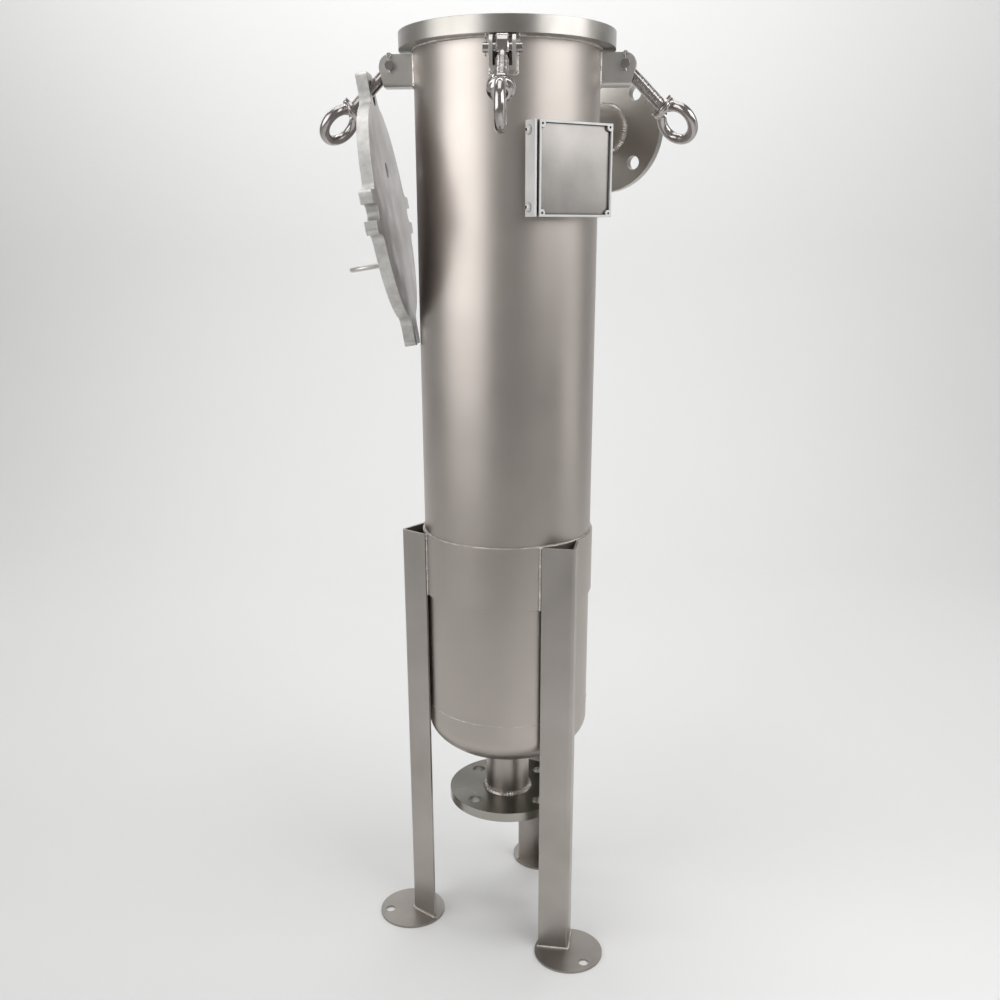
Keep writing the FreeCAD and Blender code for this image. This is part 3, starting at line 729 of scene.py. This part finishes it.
# %% [markdown]
# A split pin is one piece of half-round wire, bent back on itself into an eye. The eye stands on the pivot
# pin, and the two legs go through it and are opened a little below, so that it can't fall out.

# %% Split pins
wire_radius, eye_radius = 0.8 * MM, 2.3 * MM
leg_top = 8.5 * MM
pin_reach = 17.8 * MM


def split_pin_points(drop, spread):
    """One wire: up a leg, round the eye and down the other leg."""
    leg = [(0, -spread, -drop - 2.5 * MM), (0, -0.5 * MM, -drop), (0, -0.45 * MM, leg_top)]
    eye_centre = leg_top + eye_radius
    turn = [(0, eye_radius * sin(a), eye_centre - eye_radius * cos(a))
            for a in [radians(d) for d in range(-30, -331, -20)]]
    back = [(x, -y, z) for x, y, z in reversed(leg)]
    return leg + turn + back


pins = []
one_pin = rod("split_pin", split_pin_points(5.6 * MM, 1.6 * MM), wire_radius, sides=3)
for side in SIDES:
    spot = bolt_place(side)
    across_way = spot.col[0].to_3d()
    for hand in (-1, 1):
        pins.append(moved(one_pin, place(spot.translation + across_way * hand * pin_reach, Z, across_way)))
split_pins = piece("split_pin_wires", pins, polished, "vessel")
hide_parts("split_pins")

# %% [markdown]
# The bottom head is pressed into a smooth half ellipse. The CAD draws it in six straight steps, so a
# finer profile takes its place here, from the same radius and depth.

# %% Bottom head


def head_points(radius, depth):
    """From the head's top edge down a quarter of an ellipse, to the outlet pipe."""
    points = [(radius * cos(a), head_tangent - depth * sin(a)) for a in arc(56, 0, 28)]
    points = [point for point in points if point[0] >= pipe_radius]
    return [(radius, head_top), *points, (pipe_radius, head_at_pipe(radius, depth))]


outer = head_points(shell_radius, head_depth)
inner = head_points(shell_radius - wall, head_depth - wall)
head = piece("pressed_head", lathe("pressed_head", outer + inner[::-1], 160), blasted, "vessel")
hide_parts("bottom_head")

# %% [markdown]
# The lid's handle is a rod bent into a bow, welded to the outer face below the middle. Its place is found
# on the lid itself: down the lid from the hinge, then out from the face.

# %% Lid handle
hinge_to_centre, centre_to_handle, half_thick = 136.5 * MM, 57 * MM, 7 * MM
half, rise, bow_radius = 27 * MM, 24 * MM, 3 * MM
hinge = vec(joints["lid_tilt"]["pos_m"])
handle_foot = hinge + lid_down * (hinge_to_centre + centre_to_handle) + lid_out * half_thick
handle_spot = place(handle_foot, lid_out, Y)
bow = [(-half, 0, -0.5 * MM), (-half, 0, rise * 0.5)]
bow += [(-half * cos(a), 0, rise + half * sin(a)) for a in arc(24, 0, 24)]
bow += [(half, 0, rise * 0.5), (half, 0, -0.5 * MM)]
handle = piece("lid_bow", moved(rod("lid_bow", bow, bow_radius), handle_spot), bent, "lid")
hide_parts("lid_handle")
beads = []
for x in (-half, half):
    seam = circle(handle_spot @ Vector((x, 0, 0.4 * MM)), lid_out, Y, bow_radius + 0.2 * MM, 24)
    beads.append(bead("handle_weld", seam, 1.3 * MM, pitch=1.6 * MM, seed=31))
piece("handle_welds", beads, tack, "lid")

# %% [markdown]
# The two screws in the holder's wall are button heads with a hexagon socket. Turning gives the dome and the
# shank, and a six-sided cutter leaves the socket.

# %% Side screws
plate_azimuth = radians(36.4)
plate_turn = Matrix.Rotation(plate_azimuth, 4, "Z")
between_screws = Vector((-51.0 * MM, -(shell_radius + 6.5 * MM), rim_high[2] - 152.5 * MM))
half_gap = 39.75 * MM
head_rise, head_radius, shank_radius, shank_reach = 4.0 * MM, 5.0 * MM, 2.0 * MM, 11.0 * MM
socket_radius, socket_floor = 2.0 * MM, head_rise - 2.2 * MM
dome = [(head_radius * cos(a), head_rise * sin(a)) for a in arc(20, 0, 10)]
shank = [(0, -shank_reach), (shank_radius, -shank_reach), (shank_radius, 0)]
button = lathe("button", shank + dome[:-1] + [(0, head_rise)], 40, closed=False)
above = 2 * head_rise
hexagon = [(0, socket_floor), (socket_radius, socket_floor), (socket_radius, above), (0, above)]
socket = lathe("socket", hexagon, 6)
button = shaped(button, [("BOOLEAN", {"object": socket, "operation": "DIFFERENCE"})])
screws = [moved(button, place(plate_turn @ (between_screws + Z * up * half_gap), plate_turn @ -X, Z))
          for up in (-1, 1)]
side_screws = piece("button_screws", screws, cast_frame, "vessel")
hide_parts("side_screws")
print("button screw faces:", len(side_screws.data.polygons))

# %% [markdown]
# The basket is rolled from perforated sheet, with a plain margin at each end. One cell of the sheet, a
# hole in a small rectangle, is listed point by point. The tree sets it out in staggered rows on the flat, rolls
# them round the axis, as the real sheet is rolled, and melts the cells into one. Its inputs are the number of
# columns and rows, the two pitches, the radius and the height of the first row.

# %% Perforated basket
columns = 44
sheet_wall = 1.5 * MM
sheet_middle = basket_radius - sheet_wall / 2
pitch_round = 2 * pi * sheet_middle / columns
pitch_up = pitch_round * sqrt(3) / 2
margin = 12 * MM
rows = int((basket_high[2] - basket_low[2] - 2 * margin) / pitch_up)
first_row = (basket_low[2] + basket_high[2] - rows * pitch_up) / 2
hole_radius = 0.31 * pitch_round


def perforation():
    """One cell: X is out of the sheet, Y along it and Z up it."""
    corners = [(1, 0), (1, 1), (0, 1), (-1, 1), (-1, 0), (-1, -1), (0, -1), (1, -1)]
    edge = [(y * pitch_round / 2, z * pitch_up / 2) for y, z in corners]
    hole = [(hole_radius * cos(a), hole_radius * sin(a)) for a in turns(len(corners))]
    bm = bmesh.new()
    loops = [[bm.verts.new((face * sheet_wall / 2, y, z)) for y, z in outline]
             for face, outline in ((-1, edge), (-1, hole), (1, hole), (1, edge))]
    skin(bm, loops, round_rows=False)
    return finished(bm, "perforation", outward=False)


tree, given = new_tree("perforated_sheet", Columns="Int", Rows="Int", Pitch_Round="Float", Pitch_Up="Float",
                       Radius="Float", First_Row="Float")


def sum_of(operation, first, second=0.0):
    return maths(tree, operation, first, second)


index = add_node(tree, "GeometryNodeInputIndex")["Index"]
row = sum_of("FLOOR", sum_of("DIVIDE", sum_of("ADD", index, 0.5), given["Columns"]))
column = sum_of("SUBTRACT", index, sum_of("MULTIPLY", row, given["Columns"]))
stagger = sum_of("MULTIPLY", sum_of("MODULO", row, 2.0), 0.5)
along_sheet = sum_of("MULTIPLY", sum_of("ADD", column, stagger), given["Pitch Round"])
up_sheet = sum_of("ADD", sum_of("MULTIPLY", sum_of("ADD", row, 0.5), given["Pitch Up"]), given["First Row"])
flat_spot = add_node(tree, "ShaderNodeCombineXYZ", {"Y": along_sheet, "Z": up_sheet})["Vector"]
count = sum_of("MULTIPLY", given["Columns"], given["Rows"])
cells = add_node(tree, "GeometryNodePoints", {"Count": count, "Position": flat_spot})["Points"]
inputs = {"Points": cells, "Instance": given["Geometry"]}
set_out = add_node(tree, "GeometryNodeInstanceOnPoints", inputs)["Instances"]
flat_sheet = add_node(tree, "GeometryNodeRealizeInstances", {"Geometry": set_out})["Geometry"]
position = add_node(tree, "GeometryNodeInputPosition")["Position"]
parts = add_node(tree, "ShaderNodeSeparateXYZ", {"Vector": position})
turn = sum_of("DIVIDE", parts["Y"], given["Radius"])
reach = sum_of("ADD", parts["X"], given["Radius"])
rolled_x = sum_of("MULTIPLY", reach, sum_of("COSINE", turn))
rolled_y = sum_of("MULTIPLY", reach, sum_of("SINE", turn))
rolled_spot = add_node(tree, "ShaderNodeCombineXYZ", {"X": rolled_x, "Y": rolled_y, "Z": parts["Z"]})["Vector"]
inputs = {"Geometry": flat_sheet, "Position": rolled_spot}
rolled_sheet = add_node(tree, "GeometryNodeSetPosition", inputs)["Geometry"]
inputs = {"Geometry": rolled_sheet, "Distance": 0.01 * MM}
end_tree(tree, given, add_node(tree, "GeometryNodeMergeByDistance", inputs)["Geometry"])

holes = grown("perforated", perforation(), tree, {
    "Columns": columns, "Rows": rows, "Pitch Round": pitch_round, "Pitch Up": pitch_up, "Radius": sheet_middle,
    "First Row": first_row, "Material": basket_steel})
sheets = [holes]
for low, high in ((basket_low[2], first_row), (first_row + rows * pitch_up, basket_high[2])):
    inner_face, outer_face = basket_radius - sheet_wall, basket_radius
    margin_profile = [(inner_face, low), (outer_face, low), (outer_face, high), (inner_face, high)]
    sheets.append(lathe("margin", margin_profile, 2 * columns))
basket_sheet = piece("perforated_basket", sheets, basket_steel, "basket")
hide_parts("basket_tube")
print("holes:", columns * rows, "faces:", len(basket_sheet.data.polygons))

# %% [markdown]
# The bail is one wire, bent round a former into a half circle. Its ends turn in through the ears of the
# basket's rim with a small corner, so that it can fold.

# %% Basket bail
bail_low, bail_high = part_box("basket_bail")
bail_wire = 2.5 * MM
bail_reach = bail_high[0] - bail_wire
bail_level = (bail_low[2] + bail_high[2]) / 2
bail_end = basket_radius
corner = 5 * MM
side_line = [(bail_reach - corner + corner * sin(a), corner * cos(a) - corner) for a in arc(16, 1, 8)]
outline = [(bail_end, 0), (bail_reach - corner, 0)] + side_line
outline += [(bail_reach * cos(a), -bail_reach * sin(a)) for a in arc(48, 2, 46)]
outline += [(-x, y) for x, y in reversed(side_line)] + [(corner - bail_reach, 0), (-bail_end, 0)]
bail = piece("bail_wire", rod("bail_wire", [(x, y, bail_level) for x, y in outline], bail_wire), bent, "bail")
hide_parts("basket_bail")

# %% [markdown]
# The bag is sewn from needled felt: a sleeve with one seam down its side, and a round sole sewn in at the
# bottom. It hangs from its ring and stands a little slack in the basket, so the sleeve falls in shallow
# upright folds and the sole's corner is rounded. The folds are drawn here by moving the points of a fine
# mesh inwards, which keeps the bag clear of the basket round it.

# %% Felt bag
felt_wall = 2.5 * MM
corner_radius = 22 * MM
ring_depth = 20 * MM
fold_depth, crease_depth, sole_lift = 6.0 * MM, 1.6 * MM, 1.2 * MM
sole_edge, sole_middle = 6 * MM, 30 * MM
ring_fade, sole_fade = 120 * MM, 80 * MM
ring_level, sole = bag_high[2] - ring_depth, bag_low[2]
speck = 0.001 * MM
steps_round, steps_up = 180, 110


def slack(height):
    """How far the felt may fall in at a height, none at the ring and little at the sole."""
    below = max(0.0, min(1.0, (ring_level - height) / ring_fade))
    above = max(0.0, min(1.0, (height - sole) / sole_fade))
    return below * below * (3 - 2 * below) * (0.25 + 0.75 * above)


def felt_spot(turn, radius, height):
    x, y = cos(turn), sin(turn)
    folds = noise.noise(Vector((x * 3.6, y * 3.6, height * 2.4)))
    creases = noise.noise(Vector((x * 7, y * 7, height * 9 + 5)))
    fall = slack(height) * (fold_depth * (0.5 + folds) + crease_depth * (0.5 + creases))
    off_centre = min(1.0, radius / sole_middle)
    near_sole = max(0.0, 1 - (height - sole) / sole_edge)
    reach = radius - max(0.0, fall) * off_centre
    lift = max(0.0, sole_lift * (0.5 + creases) * near_sole * off_centre)
    return (reach * x, reach * y, height + lift)


bag_length = bag_high[2] - sole
flat_radius = bag_radius - corner_radius
profile = [(speck, sole)]
profile += [(flat_radius * n / 10, sole) for n in range(1, 10)]
profile += [(flat_radius + corner_radius * sin(a), sole + corner_radius * (1 - cos(a)))
            for a in arc(16, 0, 8)]
straight = bag_length - corner_radius
profile += [(bag_radius, sole + corner_radius + straight * n / steps_up) for n in range(1, steps_up + 1)]
inside = []
for n, (radius, height) in enumerate(profile):
    before, after = profile[max(0, n - 1)], profile[min(len(profile) - 1, n + 1)]
    along_felt = Vector((after[0] - before[0], after[1] - before[1])).normalized()
    inside.append((max(speck, radius - along_felt.y * felt_wall), height + along_felt.x * felt_wall))
bm = bmesh.new()
loops = [[bm.verts.new(felt_spot(a, radius, height)) for a in turns(steps_round)]
         for radius, height in profile + inside[::-1]]
skin(bm, loops, round_rows=False)
bmesh.ops.remove_doubles(bm, verts=loops[0] + loops[-1], dist=0.05 * MM)
felt_mesh = finished(bm, "felt_bag")
felt_bag = piece("felt_bag", felt_mesh, bag_felt, "bag")
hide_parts("filter_bag")
print("felt bag faces:", len(felt_mesh.polygons))

# %% [markdown]
# The seam is a strip of the same felt with two rows of stitches, and more rows run round under the ring
# and above the sole. A stitch is a short thread between two needle holes. The tree sets one at every pitch
# along a path, turned along it. Its inputs are the thread's radius, the stitch's length and the pitch.

# %% Seam and stitches
stitch_sides, stitch_rings = 6, 5
stitch_tree, given = new_tree("stitches", Thread_Radius="Float", Stitch_Length="Float", Pitch="Float")
sewn = add_node(stitch_tree, "GeometryNodeMeshToCurve", {"Mesh": given["Geometry"]})["Curve"]
half_stitch = maths(stitch_tree, "MULTIPLY", given["Stitch Length"], 0.5)
radius = given["Thread Radius"]
stitches = along_path(stitch_tree, sewn, given["Pitch"], radius, half_stitch, stitch_sides, stitch_rings)
end_tree(stitch_tree, given, stitches)


def in_felt(turn, height, depth):
    """A point at a depth behind the sleeve's outer face."""
    x, y, z = felt_spot(turn, bag_radius, height)
    return Vector((x, y, z)) - Vector((x, y, 0)).normalized() * depth


def sew(name, points, closed=False):
    values = {"Thread Radius": 0.45 * MM, "Stitch Length": 3.4 * MM, "Pitch": 4.2 * MM}
    values["Material"] = thread_cotton
    return grown(name, line_mesh(name + "_path", points, closed), stitch_tree, values)


seam_turn, seam_half, seam_rise = radians(200), 7 * MM, 1.4 * MM
row_off, row_gap, thread_depth = 3.5 * MM, 5 * MM, 0.25 * MM
seam_top, seam_low = ring_level - 3 * MM, sole + corner_radius + 2 * MM
heights = [seam_low + (seam_top - seam_low) * n / 90 for n in range(91)]
bm = bmesh.new()
strips = []
sunk = -0.4 * MM
for side, off in ((-1, sunk), (-0.9, seam_rise), (0, seam_rise * 1.15), (0.9, seam_rise), (1, sunk)):
    turn = seam_turn + side * seam_half / bag_radius
    strips.append([bm.verts.new(in_felt(turn, height, felt_wall + off)) for height in heights])
skin(bm, strips, round_points=False)
for end in (0, -1):
    bm.faces.new([strip[end] for strip in strips])
bag_seam = piece("bag_seam", finished(bm, "bag_seam"), bag_felt, "bag")
threads = []
for side in (-1, 1):
    turn = seam_turn + side * row_off / bag_radius
    points = [in_felt(turn, height, felt_wall + seam_rise * 1.1) for height in heights]
    threads.append(sew("seam_stitches", points))
rounds = [(ring_level, felt_wall + 0.1 * MM)]
rounds += [(height, thread_depth) for height in (seam_top, seam_top - row_gap, seam_low, seam_low + row_gap)]
for height, depth in rounds:
    points = [in_felt(a, height, depth) for a in turns(steps_round)]
    threads.append(sew("round_stitches", points, closed=True))
bag_stitches = piece("bag_stitches", threads, thread_cotton, "bag")
print("bag stitches:", len(bag_stitches.data.polygons) // (stitch_sides * stitch_rings))

# %% [markdown]
# The floor and the wall behind are one pale sheet that curves up at the back, as paper does in a studio.
# It isn't part of the object.

# %% Floor and backdrop


def backdrop():
    s = Shader("pale_paper", Metallic=0.0, Roughness=0.75, Specular_IOR_Level=0.3)
    paper = s.finish(Base_Color=s.blend(s.noise(1.5), (0.80, 0.80, 0.80), (0.83, 0.83, 0.828)))
    half_width, half_floor, bend, wall_top = 5.0, 1.6, 0.9, 4.0
    outline = [(-half_floor, 0.0), (half_floor, 0.0)]
    outline += [(half_floor + bend * sin(a), bend * (1 - cos(a))) for a in arc(24, 1, 12)]
    outline.append((half_floor + bend, wall_top))
    bm = bmesh.new()
    rows = [[bm.verts.new((x, y, z)) for x in (-half_width, half_width)] for y, z in outline]
    skin(bm, rows[::-1], round_rows=False, round_points=False)
    mesh = finished(bm, "backdrop", outward=False)
    mesh.materials.append(paper)
    mesh.shade_smooth()
    obj = linked("backdrop", mesh)


backdrop()

# %% [markdown]
# Steel shows what stands around it. A tall, wide softbox at the left gives the shell its broad bright band,
# and a higher one at the right lights only the upper part of that side, with a small dim one below it. A
# dim room between them keeps the middle of the curve dark enough to read as round. One lamp hangs above,
# a small one lights the floor in front, which the tank shows, and one behind the object lights the wall.

# %% Lights


def softbox(name, spot, target, width, height, power, spread=180):
    light = bpy.data.lights.new(name, "AREA")
    light.shape = "RECTANGLE"
    light.size, light.size_y = width, height
    light.energy = power
    light.spread = radians(spread)
    obj = linked(name, light)
    obj.location = spot
    obj.rotation_euler = (Vector(target) - Vector(spot)).to_track_quat("-Z", "Y").to_euler()


softbox("left_softbox", toward(-53) * 2.0 + Z * 1.6, (0, 0, 1.6), 2.2, 2.0, 14.5, spread=120)
softbox("right_softbox", toward(62) * 2.0 + Z * 1.95, (0, 0, 1.95), 2.0, 1.46, 24)
softbox("low_softbox", toward(92) * 2.0 + Z * 0.85, (0, 0, 0.85), 1.0, 1.2, 2.6)
softbox("top_softbox", (0.0, -0.5, 4.2), (0, 0, 0.6), 2.4, 2.4, 31)
softbox("floor_softbox", (0.55, -0.9, 1.4), (0.55, -0.9, 0), 0.7, 0.7, 1.8, spread=80)
softbox("wall_softbox", (-0.5, 1.0, 3.0), (-0.5, 2.5, 1.0), 3.0, 0.6, 36)

world = bpy.data.worlds.new("room")
bpy.context.scene.world = world
world.use_nodes = True
room = world.node_tree.nodes["Background"]
room.inputs["Color"].default_value = (1.0, 0.99, 0.98, 1)
room.inputs["Strength"].default_value = 0.27

# %% [markdown]
# The camera stands where the photograph was taken from: a little over a metre and a third away, nearly a
# metre up, looking down. The lens and the shift are those that put the rim, the band and the feet in place.

# %% Camera
camera_distance, camera_height, camera_azimuth = 1.3591, 0.9608, 2.0
pan, tilt, roll = -0.43, radians(17.99), radians(-0.17)
focal_pixels, principal_row, image_size = 1055.6, 573.9, 1000
look = -toward(camera_azimuth - pan) * cos(tilt) - Z * sin(tilt)
level = look.cross(Z).normalized()
upright = level.cross(look)
right_way = level * cos(roll) + upright * sin(roll)
up_way = upright * cos(roll) - level * sin(roll)
lens = bpy.data.cameras.new("camera")
lens.sensor_width = 36.0
lens.lens = focal_pixels / image_size * lens.sensor_width
lens.shift_y = (principal_row - image_size / 2) / image_size
camera = linked("camera", lens)
camera.location = toward(camera_azimuth) * camera_distance + Z * camera_height
camera.rotation_euler = Matrix((right_way, up_way, -look)).transposed().to_euler()
bpy.context.scene.camera = camera
bpy.context.scene.view_settings.view_transform = "Standard"
